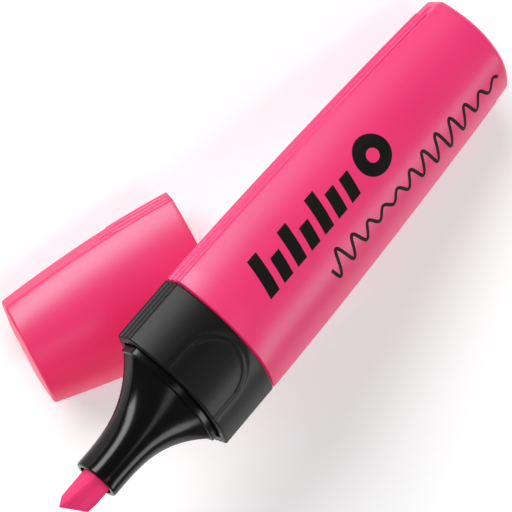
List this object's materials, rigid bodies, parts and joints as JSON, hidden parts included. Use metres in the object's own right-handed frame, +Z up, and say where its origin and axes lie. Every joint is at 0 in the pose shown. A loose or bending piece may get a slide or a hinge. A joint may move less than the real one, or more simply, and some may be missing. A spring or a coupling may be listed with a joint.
{
  "type": "highlighter",
  "caption": "Flat highlighter lying uncapped: a pink barrel with a black collar and nozzle, a slanted chisel nib, and its pull-off cap lying under the collar.",
  "frame": {"origin": "centre of the overall bounding box in X and Y, on the table at its base", "axes": "+X from the pen's tail towards its nib, seen from above; +Z up from the table the pen and cap lie on; the cap lies towards -Y"},
  "size_m": [0.1066, 0.0362, 0.0371],
  "materials": {
    "pink_plastic": "gloss",
    "satin_black": "satin",
    "gloss_black": "gloss",
    "pink_fibre": "matte felt",
    "ink_fibre": "matte",
    "film": "gloss"
  },
  "bodies": {
    "pen": {"barrel": "pink_plastic", "collar": "satin_black", "nose": "gloss_black", "nib": "pink_fibre", "ink_reservoir": "ink_fibre", "reservoir_film": "film"},
    "cap": {"cap_shell": "pink_plastic", "cap_seal": "pink_plastic"}
  },
  "joints": [
    {"name": "cap_slide", "type": "slide", "parent": "pen", "child": "cap", "axis": [0.9668, -0.2554, 0], "range_m": [0, 0.05]}
  ]
}
